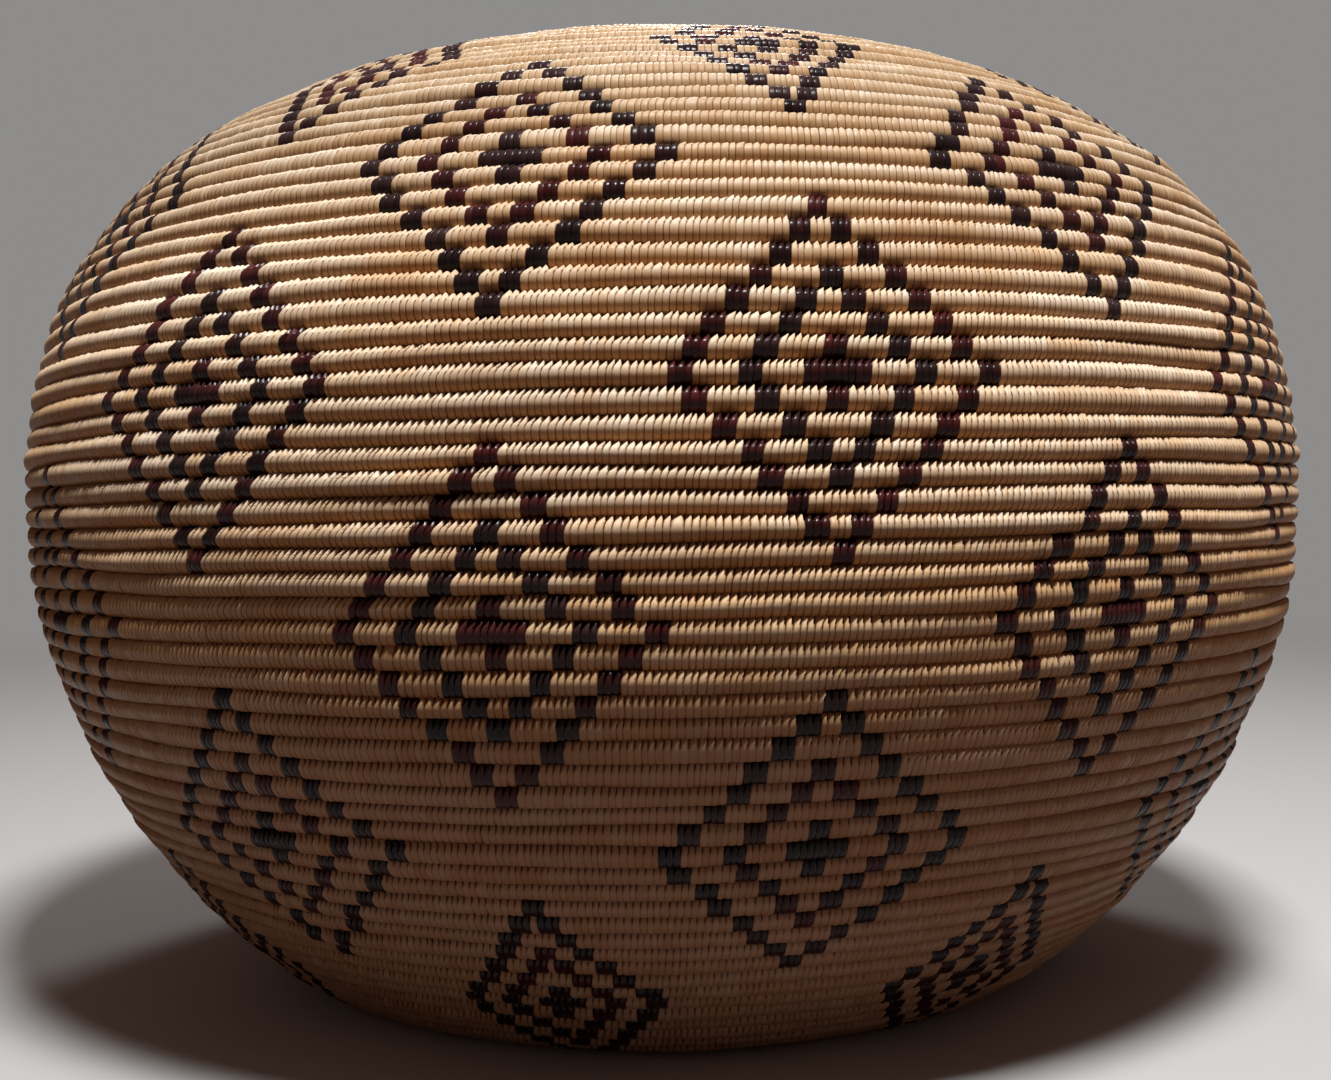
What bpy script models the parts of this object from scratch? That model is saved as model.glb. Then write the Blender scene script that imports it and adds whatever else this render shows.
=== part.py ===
"""A coiled willow basket with a round belly and an open mouth, standing on its flat base.

The basket is one coil. It starts in a knot at the middle of the base, winds outwards as a flat
spiral, turns up round the heel, climbs the wall to the right, closes in over the shoulder and
ends at the mouth, where its tail thins out on the course below. Each course is sewn down on the
one before it, so a length of a few courses is one rigid piece with a ridge for each course. The
lengths follow one another along the same spiral, end face to end face.

Coordinates: metres, +Z up, origin at the middle of the base on the floor, front at -Y.
"""

import math

import bpy
import numpy as np

# Outline of the basket, along the grooves between the courses
BELLY_RADIUS = 0.203
BELLY_HEIGHT = 0.1502  # of the widest course, above the floor
LOWER_CURVE_SHARE = 1.27  # of BELLY_HEIGHT, how high the quarter curve of the lower wall is
LOWER_FULLNESS = 1.88  # its exponent: 2 is an ellipse, less is more pointed
UPPER_CURVE_HEIGHT = 0.1451  # the wall above the belly follows a quarter curve this high
UPPER_FULLNESS = 2.5  # its exponent: more than 2 is squarer than an ellipse
MOUTH_RADIUS = 0.0853
HEEL_RADIUS = 0.0305  # of the bend between the base and the wall

# The coil
COURSE_WIDTH = 0.0058  # from one groove to the next; the number of courses follows from it
RIDGE_HEIGHT = 0.0018  # of a course's ridge above its grooves
WALL_BODY = 0.0052  # from the grooves to the inner surface
LAND_SHARE = 0.56  # of a base course's width, the flat that stands on the floor
RIM_SHOULDER_SHARE = 0.86  # of the rim course's height, where its round top begins
TAPER_TURNS = 0.30  # length of the thinning tail at the mouth
TAIL_PAST_START = 0.15  # turns that the tail runs on over the rim course's own start
TIP_SHARE = 0.22  # thickness left at the tail's tip
KNOT_TURNS = 1  # turns that are rolled up tight in the start knot
CLEARANCE = 0.0003  # between neighbouring lengths

# How the coil is divided: lengths of coil in each region, from the middle of the base
INNER_BASE_LENGTHS = 1
OUTER_BASE_LENGTHS = 1
HEEL_LENGTHS = 1
LOWER_WALL_LENGTHS = 4
BELLY_LENGTHS = 3
SHOULDER_LENGTHS = 4
INNER_BASE_RADIUS = 0.045
BELLY_BAND_HEIGHT = 0.090  # height of the region round the widest course

# Facets
COLUMNS = 32  # round each turn
INNER_COLUMNS = 16  # round each turn of the inner base
START_ANGLE = math.pi / 2  # every length starts at the back
CURVE_SAMPLES = 4000
SHARP_ANGLE = math.radians(35)  # creases steeper than this stay sharp

WILLOW = (0.56, 0.40, 0.21)
DARK_WILLOW = (0.45, 0.31, 0.16)
BLEND = 0.55


def clear_scene():
    """Remove whatever objects the file holds."""
    for item in list(bpy.data.objects):
        bpy.data.objects.remove(item, do_unlink=True)


def make_material(name, share):
    """Willow between its light and its weathered colour; share 0 is light, 1 is weathered."""
    material = bpy.data.materials.new(name)
    material.use_nodes = True
    colour = [a + (b - a) * share * BLEND for a, b in zip(WILLOW, DARK_WILLOW, strict=True)]
    shader = material.node_tree.nodes["Principled BSDF"]
    shader.inputs["Base Color"].default_value = (*colour, 1.0)
    shader.inputs["Roughness"].default_value = 0.5
    shader.inputs["Metallic"].default_value = 0.0
    return material


def quarter_curve(height, fullness):
    """Radii and heights from the belly to the axis along (radius / belly) ** n + (z / h) ** n = 1."""
    turn = np.linspace(0.0, math.pi / 2, CURVE_SAMPLES)
    power = 2 / fullness
    return BELLY_RADIUS * np.abs(np.cos(turn)) ** power, height * np.sin(turn) ** power


def slope_along(radius, height):
    """Angle of a line of points above the level, unbroken along the line."""
    return np.unwrap(np.arctan2(np.gradient(height), np.gradient(radius)))


class Outline:
    """The basket's outline through the grooves, as points at known lengths from the centre."""

    def __init__(self):
        lower_curve_height = LOWER_CURVE_SHARE * BELLY_HEIGHT
        lower_radius, lower_drop = quarter_curve(lower_curve_height, LOWER_FULLNESS)
        lower_radius = lower_radius[::-1]
        lower_height = BELLY_HEIGHT - lower_drop[::-1]
        upper_radius, upper_rise = quarter_curve(UPPER_CURVE_HEIGHT, UPPER_FULLNESS)

        # The heel bend touches the base and the lower curve, which starts where they meet
        slope = slope_along(lower_radius, lower_height)
        middle_height = RIDGE_HEIGHT + HEEL_RADIUS
        touch = int(np.searchsorted(lower_height + HEEL_RADIUS * np.cos(slope), middle_height))
        middle_radius = lower_radius[touch] - HEEL_RADIUS * math.sin(slope[touch])
        bend = np.linspace(0.0, slope[touch], CURVE_SAMPLES)
        flat = np.linspace(0.0, middle_radius, CURVE_SAMPLES)

        self.radius = np.concatenate(
            [
                flat[:-1],
                middle_radius + HEEL_RADIUS * np.sin(bend),
                lower_radius[touch + 1 :],
                upper_radius[1:],
            ]
        )
        self.height = np.concatenate(
            [
                np.full(CURVE_SAMPLES - 1, RIDGE_HEIGHT),
                middle_height - HEEL_RADIUS * np.cos(bend),
                lower_height[touch + 1 :],
                BELLY_HEIGHT + upper_rise[1:],
            ]
        )
        step = np.hypot(np.diff(self.radius), np.diff(self.height))
        self.length = np.concatenate([[0.0], np.cumsum(step)])
        self.slope = slope_along(self.radius, self.height)
        self.flat_length = middle_radius
        upper_length = self.length[-CURVE_SAMPLES:]
        self.total = float(np.interp(-MOUTH_RADIUS, -upper_radius, upper_length))

    def length_at_height(self, height):
        """Length from the centre to the height given, on the wall."""
        return float(np.interp(height, self.height, self.length))

    def place(self, length, out):
        """Radius and height of points at these lengths, moved square to the wall by out."""
        slope = np.interp(length, self.length, self.slope)
        radius = np.interp(length, self.length, self.radius) + out * np.sin(slope)
        height = np.interp(length, self.length, self.height) - out * np.cos(slope)
        return radius, height


class Coil:
    """The spiral: how many courses the outline holds, and where each point of one lies.

    The last turn climbs from one course to the next, so the mouth is half a course past them.
    """

    def __init__(self, outline):
        self.outline = outline
        self.courses = round(outline.total / COURSE_WIDTH - 0.5)
        self.pitch = outline.total / (self.courses + 0.5)

    def points(self, turns, across, out, angle_shift=0.0):
        """World points of the coil.

        turns: turns from the start, the whole and the part of a turn.
        across: distance along the outline from the groove under the course.
        out: distance out from the grooves.
        """
        turns = np.asarray(turns, float)
        radius, height = self.outline.place(turns * self.pitch + across, out)
        angle = START_ANGLE + 2 * math.pi * turns + angle_shift
        return np.stack([radius * np.cos(angle), radius * np.sin(angle), height], axis=-1)

    def half_gap_angle(self, turn):
        """Half the clearance between two end faces, as an angle round the basket."""
        radius, _ = self.outline.place(turn * self.pitch, -WALL_BODY)
        return CLEARANCE / (2 * float(radius))


def add_object(name, mesh, material, collection):
    """Link a mesh as a named, smooth-shaded object of the basket."""
    mesh.materials.append(material)
    mesh.shade_smooth()
    mesh.set_sharp_from_angle(angle=SHARP_ANGLE)
    basket_object = bpy.data.objects.new(name, mesh)
    collection.objects.link(basket_object)
    return basket_object


def make_length(name, coil, first, turns, columns, ridge, material, collection):
    """One length of the coil: whole turns sewn into a rigid band.

    Its outside has a line of points along each groove and along each line of ridge, a list of
    (share of the pitch, distance out). Every line is one spiral, and the last turn of a line
    closes on the next course's first groove. The inside spans the band in one plain face per
    column. The band's first and last turns end in a flat face square to the coil.
    """
    last = turns * columns
    index = np.arange(last + columns + 1)
    place = first + index / columns
    half = CLEARANCE / 2
    nudge = np.zeros(len(index))
    nudge[: columns + 1] = half
    nudge[last:] = -half
    shift = np.zeros(len(index))
    shift[[0, columns]] = coil.half_gap_angle(max(first, KNOT_TURNS))
    shift[[last, last + columns]] = -coil.half_gap_angle(first + turns)

    groove = coil.points(place, nudge, 0.0, shift)
    inner = coil.points(place, nudge, -WALL_BODY, shift)
    ridge_shift = np.zeros(last + 1)
    ridge_shift[[0, last]] = shift[[0, last]]
    lines = [groove]
    for share, out in ridge:
        lines.append(coil.points(place[: last + 1], share * coil.pitch, out, ridge_shift))

    # Indices of the points: the groove line, the ridge lines, then the inner line
    starts = np.cumsum([0] + [len(line) for line in lines])
    points = np.concatenate(lines + [inner])
    inside = int(starts[-1])
    faces = []
    for step in range(last):
        rungs = [(step, step + 1)]
        rungs += [(int(start) + step, int(start) + step + 1) for start in starts[1:-1]]
        rungs += [(step + columns, step + columns + 1)]
        for below, above in zip(rungs, rungs[1:], strict=False):
            faces.append((below[0], below[1], above[1], above[0]))
    for step in range(columns):
        faces.append((inside + step, inside + step + 1, step + 1, step))
        top = last + step
        faces.append((top, top + 1, inside + top + 1, inside + top))
    for step in range(columns):
        face = [inside + step + 1, inside + step]
        if step == 0:
            face.append(inside + columns)
        face.append(inside + last + step)
        face.append(inside + last + step + 1)
        if step == columns - 1:
            face.append(inside + last)
        faces.append(tuple(face))
    ridge_starts = [int(start) for start in starts[1:-1]]
    faces.append((inside, 0, *ridge_starts, columns, inside + columns))
    ridge_ends = [start + last for start in reversed(ridge_starts)]
    faces.append((inside + last, inside + last + columns, last + columns, *ridge_ends, last))

    mesh = bpy.data.meshes.new(name)
    mesh.from_pydata(points.tolist(), [], faces)
    mesh.validate()
    return add_object(name, mesh, material, collection)


def make_start_knot(coil, material, collection):
    """The tight first turn, a flat spiral outline as thick as the base."""
    turns = KNOT_TURNS + np.arange(INNER_COLUMNS + 1) / INNER_COLUMNS
    shift = np.zeros(len(turns))
    shift[0] = shift[-1] = -coil.half_gap_angle(KNOT_TURNS)
    edge = coil.points(turns, -CLEARANCE / 2, 0.0, shift)
    thickness = RIDGE_HEIGHT + WALL_BODY
    curve = bpy.data.curves.new("start_knot", "CURVE")
    curve.dimensions = "2D"
    curve.fill_mode = "BOTH"
    curve.extrude = thickness / 2
    spline = curve.splines.new("POLY")
    spline.points.add(len(edge) - 1)
    for point, (x, y, _) in zip(spline.points, edge, strict=True):
        point.co = (x, y, 0.0, 1.0)
    spline.use_cyclic_u = True
    curve.materials.append(material)
    knot = bpy.data.objects.new("start_knot", curve)
    knot.location = (0.0, 0.0, thickness / 2)
    collection.objects.link(knot)


def make_rim(name, coil, first, material, collection):
    """The last course at the mouth, with a round top and a tail that thins out."""
    end = 1 + TAIL_PAST_START
    steps = round(end * COLUMNS)
    along = np.linspace(0.0, end, steps + 1)
    size = np.interp(along, [end - TAPER_TURNS, end], [1.0, TIP_SHARE])
    shift = np.zeros(len(along))
    shift[0] = coil.half_gap_angle(first)
    half = CLEARANCE / 2
    depth = coil.pitch - CLEARANCE
    section = [
        (0.0, 0.0),
        (RIM_SHOULDER_SHARE / 2, RIDGE_HEIGHT),
        (RIM_SHOULDER_SHARE, 0.0),
        (1.0, -WALL_BODY / 2),
        (RIM_SHOULDER_SHARE, -WALL_BODY),
        (0.0, -WALL_BODY),
    ]
    rings = []
    for share, out in section:
        thinned = (out + WALL_BODY / 2) * size - WALL_BODY / 2
        rings.append(coil.points(first + along, half + share * depth * size, thinned, shift))
    points = np.concatenate(rings)
    count = len(along)
    faces = []
    for corner in range(len(section)):
        below = corner * count
        above = (corner + 1) % len(section) * count
        for step in range(steps):
            faces.append((below + step, below + step + 1, above + step + 1, above + step))
    faces.append(tuple(corner * count for corner in range(len(section))))
    faces.append(tuple(corner * count + steps for corner in reversed(range(len(section)))))
    mesh = bpy.data.meshes.new(name)
    mesh.from_pydata(points.tolist(), [], faces)
    mesh.validate()
    return add_object(name, mesh, material, collection)


def split(first, last, parts):
    """Whole turns from first to last, shared as evenly as whole turns allow."""
    return [round(first + (last - first) * part / parts) for part in range(parts + 1)]


def main():
    """Build the knot, the lengths of coil and the rim."""
    clear_scene()
    collection = bpy.data.collections.new("willow_basket")
    bpy.context.scene.collection.children.link(collection)
    outline = Outline()
    coil = Coil(outline)

    base_end = int(outline.flat_length / coil.pitch) - 1
    inner_end = round(INNER_BASE_RADIUS / coil.pitch)
    belly_low = outline.length_at_height(BELLY_HEIGHT - BELLY_BAND_HEIGHT / 2)
    belly_high = outline.length_at_height(BELLY_HEIGHT + BELLY_BAND_HEIGHT / 2)
    heel_end = round((outline.flat_length + HEEL_RADIUS * math.pi / 4) / coil.pitch)
    low_end = round(belly_low / coil.pitch)
    belly_end = round(belly_high / coil.pitch)
    rim_start = coil.courses - 1

    land = (1 - LAND_SHARE) / 2
    flat_ridge = [(land, RIDGE_HEIGHT), (1 - land, RIDGE_HEIGHT)]
    sharp_ridge = [(0.5, RIDGE_HEIGHT)]
    regions = [
        ("inner_base_coil", KNOT_TURNS, inner_end, INNER_BASE_LENGTHS, INNER_COLUMNS, flat_ridge),
        ("outer_base_coil", inner_end, base_end, OUTER_BASE_LENGTHS, COLUMNS, flat_ridge),
        ("heel_coil", base_end, heel_end, HEEL_LENGTHS, COLUMNS, sharp_ridge),
        ("lower_wall_coil", heel_end, low_end, LOWER_WALL_LENGTHS, COLUMNS, sharp_ridge),
        ("belly_coil", low_end, belly_end, BELLY_LENGTHS, COLUMNS, sharp_ridge),
        ("shoulder_coil", belly_end, rim_start, SHOULDER_LENGTHS, COLUMNS, sharp_ridge),
    ]
    make_start_knot(coil, make_material("start_knot", 1.0), collection)
    for name, first, last, parts, columns, ridge in regions:
        ends = split(first, last, parts)
        for number, (start, stop) in enumerate(zip(ends, ends[1:], strict=False), 1):
            full_name = name if parts == 1 else f"{name}_{number}"
            material = make_material(full_name, number / parts)
            make_length(full_name, coil, start, stop - start, columns, ridge, material, collection)
    make_rim("rim_coil", coil, rim_start, make_material("rim_coil", 1.0), collection)
    print(f"{coil.courses} courses, {coil.pitch * 1000:.2f} mm apart")


main()
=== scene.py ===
"""The coiled willow basket, dressed for its picture.

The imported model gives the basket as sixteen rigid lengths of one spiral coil. Here each length is
sewn again stitch by stitch. Every splint is real shape: a foot in the groove, a round body whose
crest sits a little above the middle of the course, and a leaning tip with a dark notch beside it.
The feet of the first turn meet at the middle of the base. Splints of fern root and redbud among
the willow ones draw stepped diamonds round the basket.

Coordinates: metres, +Z up, origin at the middle of the base on the floor, front at -Y.
"""

import logging
import math
from collections.abc import Callable, Sequence
from dataclasses import dataclass, field, fields, replace
from enum import Enum

import bpy
import numpy as np
from mathutils import Matrix, Vector
from numpy.random import Generator


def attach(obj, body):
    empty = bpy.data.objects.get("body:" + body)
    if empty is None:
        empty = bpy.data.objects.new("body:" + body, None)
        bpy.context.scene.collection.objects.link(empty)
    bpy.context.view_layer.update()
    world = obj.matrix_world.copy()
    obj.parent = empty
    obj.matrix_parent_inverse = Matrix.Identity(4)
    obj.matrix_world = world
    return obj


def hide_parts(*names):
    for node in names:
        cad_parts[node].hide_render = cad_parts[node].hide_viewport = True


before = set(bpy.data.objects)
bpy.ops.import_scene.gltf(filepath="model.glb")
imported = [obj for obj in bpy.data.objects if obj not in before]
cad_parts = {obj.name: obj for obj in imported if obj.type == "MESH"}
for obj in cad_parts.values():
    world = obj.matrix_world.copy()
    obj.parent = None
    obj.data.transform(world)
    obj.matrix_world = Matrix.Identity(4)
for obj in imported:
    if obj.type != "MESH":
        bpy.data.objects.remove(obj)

Array = np.ndarray
Colour = tuple[float, float, float]
Shares = tuple[float, ...]
Rows = tuple[tuple[float, float], ...]

logging.basicConfig(level=logging.INFO, format="%(message)s")
log = logging.getLogger("basket")

PICTURE_WIDTH = 1331  # pixels
TURN = 2 * math.pi
MILLIMETRE = 0.001


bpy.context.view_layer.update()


def placed(name: str, data: bpy.types.ID) -> bpy.types.Object:
    """A new object with this data, in the scene."""
    made = bpy.data.objects.new(name, data)
    bpy.context.scene.collection.objects.link(made)
    return made


def operator(operation: str, swapped: bool = False) -> "Callable[[Wire, Wire | float], Wire]":
    """A method that adds one Math node on a Wire and another value.

    Args:
        operation: Blender's name for what the node does.
        swapped: whether the other value comes first.

    Returns:
        The method.
    """

    def method(self: "Wire", other: "Wire | float") -> "Wire":
        """Both values put together."""
        return self.math(operation, *((other, self) if swapped else (self, other)))

    return method


@dataclass
class Wire:
    """A number carried by a shader socket. Python's operators on it add Math nodes."""

    tree: "NodeTree"
    socket: bpy.types.NodeSocket

    def math(self, operation: str, *values: "Wire | float") -> "Wire":
        """One Math node on these values."""
        return self.tree.add("Math", {"operation": operation}, values)

    __add__ = __radd__ = operator("ADD")
    __mul__ = __rmul__ = operator("MULTIPLY")
    __sub__ = operator("SUBTRACT")
    __rsub__ = operator("SUBTRACT", swapped=True)
    __pow__ = operator("POWER")
    at_most = operator("MINIMUM")
    at_least = operator("MAXIMUM")

    def __abs__(self) -> "Wire":
        """Size of self without its sign."""
        return self.math("ABSOLUTE", self)

    def ramp(self, low: float, high: float) -> "Wire":
        """Smooth step from 0 to 1 while self goes from low to high."""
        settings = {"interpolation_type": "SMOOTHSTEP", "clamp": True}
        return self.tree.add("MapRange", settings, [self, low, high])


class NodeTree:
    """A material's or the world's nodes, all made by one method."""

    def __init__(self, owner: "bpy.types.Material | bpy.types.World") -> None:
        """Start from an empty tree."""
        owner.use_nodes = True
        self.tree = owner.node_tree
        self.tree.nodes.clear()

    def add(
        self,
        kind: str,
        settings: dict[str, object] | None = None,
        sockets: dict[str | int, object] | Sequence[object] = (),
        output: str | int = 0,
    ) -> Wire:
        """Make one node.

        Args:
            kind: Blender's type name of the node, without its ShaderNode.
            settings: attributes of the node, set before its sockets.
            sockets: values or Wires for its inputs, by name or number, or in order.
            output: the output that the result carries.

        Returns:
            The chosen output.
        """
        node = self.tree.nodes.new(f"ShaderNode{kind}")
        for name, value in (settings or {}).items():
            setattr(node, name, value)
        for key, value in sockets.items() if isinstance(sockets, dict) else enumerate(sockets):
            if isinstance(value, Wire):
                self.tree.links.new(value.socket, node.inputs[key])
            else:
                node.inputs[key].default_value = value
        return Wire(self, node.outputs[output] if len(node.outputs) else None)

    def mix(self, factor: Wire | float, first: object, second: object, blend: str = "MIX") -> Wire:
        """One colour from two colours or Wires: factor is the share of the second."""
        settings = {"data_type": "RGBA", "blend_type": blend}
        return self.add("Mix", settings, {0: factor, 6: rgba(first), 7: rgba(second)}, 2)

    def noise(self, place: Wire, scale: float, detail: float, roughness: float) -> Wire:
        """Smooth noise about 0 at a place, scale repeats to the unit."""
        sockets = {"Vector": place, "Scale": scale, "Detail": detail, "Roughness": roughness}
        return self.add("TexNoise", None, sockets) - 0.5

    def parts(self, vector: Wire) -> tuple[Wire, ...]:
        """The three numbers of a vector."""
        first = self.add("SeparateXYZ", None, [vector])
        return tuple(Wire(self, output) for output in first.socket.node.outputs)

    def attribute(self, name: str) -> tuple[Wire, ...]:
        """The three numbers that the mesh carries by this name."""
        vector = self.add("Attribute", {"attribute_name": name}, output="Vector")
        return self.parts(vector)


def rgba(colour: object) -> object:
    """A plain colour with its alpha, or a Wire as it is."""
    return colour if isinstance(colour, Wire) else (*colour, 1.0)


UNTINTED: Colour = (1.0, 1.0, 1.0)
# partly real dirt, partly painted shade in the gaps between stitches
SEAM_DIRT_AND_SHADE: Colour = (0.30, 0.14, 0.07)
NOTCH_SHADE: Colour = (0.16, 0.08, 0.05)
# partly real dirt, partly painted shade in the grooves between courses
GROOVE_DIRT_AND_SHADE: Colour = (0.30, 0.13, 0.06)
SHOULDER = (0.18, 0.27)  # heights, in metres, between which the shoulder's dust and painted shade begin
LOWER_WALL = (0.125, 0.075)  # and downwards the painted shade of the lower wall
LOW_BELLY = (0.16, 0.12)  # and the deeper, more golden painted shade above the lower wall
FLANKS = (0.12, 0.19)  # metres to the side between which the painted shade of the flanks begins


@dataclass(frozen=True)
class SplintFinish:
    """The look of one kind of splint, from its fibres to its tone over the whole basket.

    The mesh carries two attributes. "splint" holds, at each corner, how far across the stitch it
    is (0 to 1), how far round the course (0 at the hidden foot, 1 back at it) and the stitch's
    own number from 0 to 1. "tone" holds each stitch's lightness, warmth and gloss about 0.
    """

    slot: str
    pale: Colour
    deep: Colour
    warm: Colour
    tone_reach: float  # how far stitches differ between deep and pale
    warm_reach: float
    streak: float  # strength of the fibre streaks
    age: float  # strength of the wide cloudy ageing
    roughness: float
    roughness_reach: float = 0.2
    specular: float = 0.11
    edge_dark: float = 0.5  # how dark the dirt and painted shade between stitches are
    groove_dark: float = 0.3  # and the dirt and painted shade between courses
    notch_dark: float = 0.6  # how dark the sides of the tips are
    dust: Colour = UNTINTED  # dust and painted shade on the shoulder, multiplied as all tints are
    soil: Colour = UNTINTED  # painted shade of the lower wall
    golden: Colour = UNTINTED  # deeper, more golden painted shade low on the belly
    golden_flank: Colour = UNTINTED  # the same painted shade on the flanks
    underside: Colour = (0.75, 0.65, 0.6)  # painted shade under each course
    underside_high: Colour = (0.8, 0.7, 0.7)  # the same on the shoulder
    crown_bump: float = 0.00010  # metres that a stitch's crown stands up in the bump
    fibre_bump: float = 0.00003  # metres

    def build(self) -> bpy.types.Material:
        """Make the material: each stitch's own tone, then one tint after another over it, most of
        them painted shade.

        The ramps run over side, from a stitch's crown (0) to its edges (1), and over around, where
        the foot is at 0, the crest near 0.4 and the tip near 0.6.

        Returns:
            The finished material.
        """
        material = bpy.data.materials.new(self.slot)
        tree = NodeTree(material)
        across, around, number = tree.attribute("splint")
        light, warmth, gloss = tree.attribute("tone")
        solid = tree.add("TexCoord", output="Object")
        sideways, _, height = tree.parts(solid)
        side = abs(across * 2.0 - 1.0)
        high, low = height.ramp(*SHOULDER), height.ramp(*LOWER_WALL)

        grain = [across * 7.0 + number * 913.0, around * 9.0, number * 61.0]
        fibre = tree.noise(tree.add("CombineXYZ", None, grain), 1.0, 3.0, 0.6)
        cloud = tree.noise(solid, 9.0, 3.0, 0.55)
        blotch = tree.noise(solid, 55.0, 2.0, 0.5)
        share = 0.5 + light * self.tone_reach + fibre * self.streak + cloud * self.age
        share = (share + blotch * (0.5 * self.age)).at_least(0.0).at_most(1.0)
        colour = tree.mix(share, self.deep, self.pale)

        warm_share = (warmth * self.warm_reach + 0.15 + cloud * 0.5).at_least(0.0).at_most(1.0)
        # edge and hatch: dirt and painted shade along the seams, the hatch running down their lower
        # halves
        edge = side.ramp(0.82, 0.98) * (0.6 + 0.9 * number**3.0) * (1.0 - 0.6 * low)
        hatch = side.ramp(0.60, 0.95) * around.ramp(0.44, 0.24) * (0.25 + 0.45 * number)
        edge = edge + hatch * (1.0 - high) * (1.0 - 0.7 * low)
        notch = side.ramp(0.62, 0.92) * (around - 0.09 * low).ramp(0.38, 0.48)
        under_belly = height.ramp(*LOW_BELLY) * (1.0 - low) * around.ramp(0.30, 0.48)
        # under: painted shade over the lower half of each course, less of it on the lower wall
        under = (around - 0.04 * high).ramp(0.48, 0.14) * (1.0 + cloud) * (1.0 - 0.6 * low)
        # groove: dirt and painted shade at the foot and the tip, where courses meet
        groove = (around.ramp(0.22, 0.04) + around.ramp(0.54, 0.64)).at_most(1.0)
        # Tints over the stitch's tone: warmth, then painted shade (partly dirt in seams and
        # grooves, partly dust on the shoulder)
        for factor, tint in (
            (warm_share, self.warm),
            ((edge * self.edge_dark).at_most(1.0), SEAM_DIRT_AND_SHADE),
            (notch * around.ramp(0.68, 0.62) * self.notch_dark, NOTCH_SHADE),
            # dust and painted shade that darken the lamp-lit shoulder
            (high, self.dust),
            # painted shade over the lower wall, darker and redder
            (low, self.soil),
            # painted shade low on the belly, over the lower half of each course
            (under_belly, self.golden),
            # painted shade on the flanks, deeper and more golden
            (abs(sideways).ramp(*FLANKS) * (1.0 - low), self.golden_flank),
            # painted shade under each course, with its own tint on the shoulder
            (under.at_most(1.0), tree.mix(high, self.underside, self.underside_high)),
            (groove * self.groove_dark, GROOVE_DIRT_AND_SHADE),
        ):
            colour = tree.mix(factor, colour, tint, "MULTIPLY")

        rough = (self.roughness + fibre * self.roughness_reach) - gloss * 0.05
        relief = (1.0 - side**5.0) * self.crown_bump + fibre * self.fibre_bump
        sockets = {"Strength": 1.0, "Distance": 1.0, "Height": relief}
        bump = tree.add("Bump", None, sockets)
        sockets = {
            "Base Color": colour,
            "Roughness": rough.at_least(0.15).at_most(0.9),
            "Normal": bump,
            "Specular IOR Level": self.specular,
        }
        shader = tree.add("BsdfPrincipled", None, sockets)
        tree.add("OutputMaterial", None, {"Surface": shader})
        return material


WILLOW = SplintFinish(
    slot="willow_splint",
    pale=(0.79, 0.69, 0.56),
    deep=(0.55, 0.37, 0.21),
    warm=(1.0, 0.86, 0.68),
    tone_reach=0.16,
    warm_reach=0.22,
    streak=0.5,
    age=0.5,
    roughness=0.45,
    roughness_reach=0.22,
    specular=0.16,
    edge_dark=0.75,
    groove_dark=0.1,
    notch_dark=0.62,
    dust=(0.77, 0.765, 0.76),
    soil=(0.83, 0.68, 0.62),
    golden=(1.0, 0.82, 0.60),
    golden_flank=(0.90, 0.77, 0.63),
    underside=(0.78, 0.54, 0.33),
    underside_high=(0.72, 0.60, 0.45),
    crown_bump=0.00009,
    fibre_bump=0.00004,
)

ROOT = SplintFinish(
    slot="dark_root_splint",
    pale=(0.046, 0.023, 0.022),
    deep=(0.013, 0.007, 0.007),
    warm=(1.0, 0.72, 0.66),
    tone_reach=0.25,
    warm_reach=0.35,
    streak=0.7,
    age=0.3,
    roughness=0.23,
)

REDBUD = SplintFinish(
    slot="redbud_splint",
    pale=(0.078, 0.019, 0.018),
    deep=(0.017, 0.006, 0.006),
    warm=(1.0, 0.62, 0.55),
    tone_reach=0.3,
    warm_reach=0.3,
    streak=0.8,
    age=0.4,
    roughness=0.24,
)


class Splint(Enum):
    """Which plant a stitch is cut from."""

    WILLOW = 0
    ROOT = 1
    REDBUD = 2


FINISHES = {Splint.WILLOW: WILLOW, Splint.ROOT: ROOT, Splint.REDBUD: REDBUD}


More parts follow.
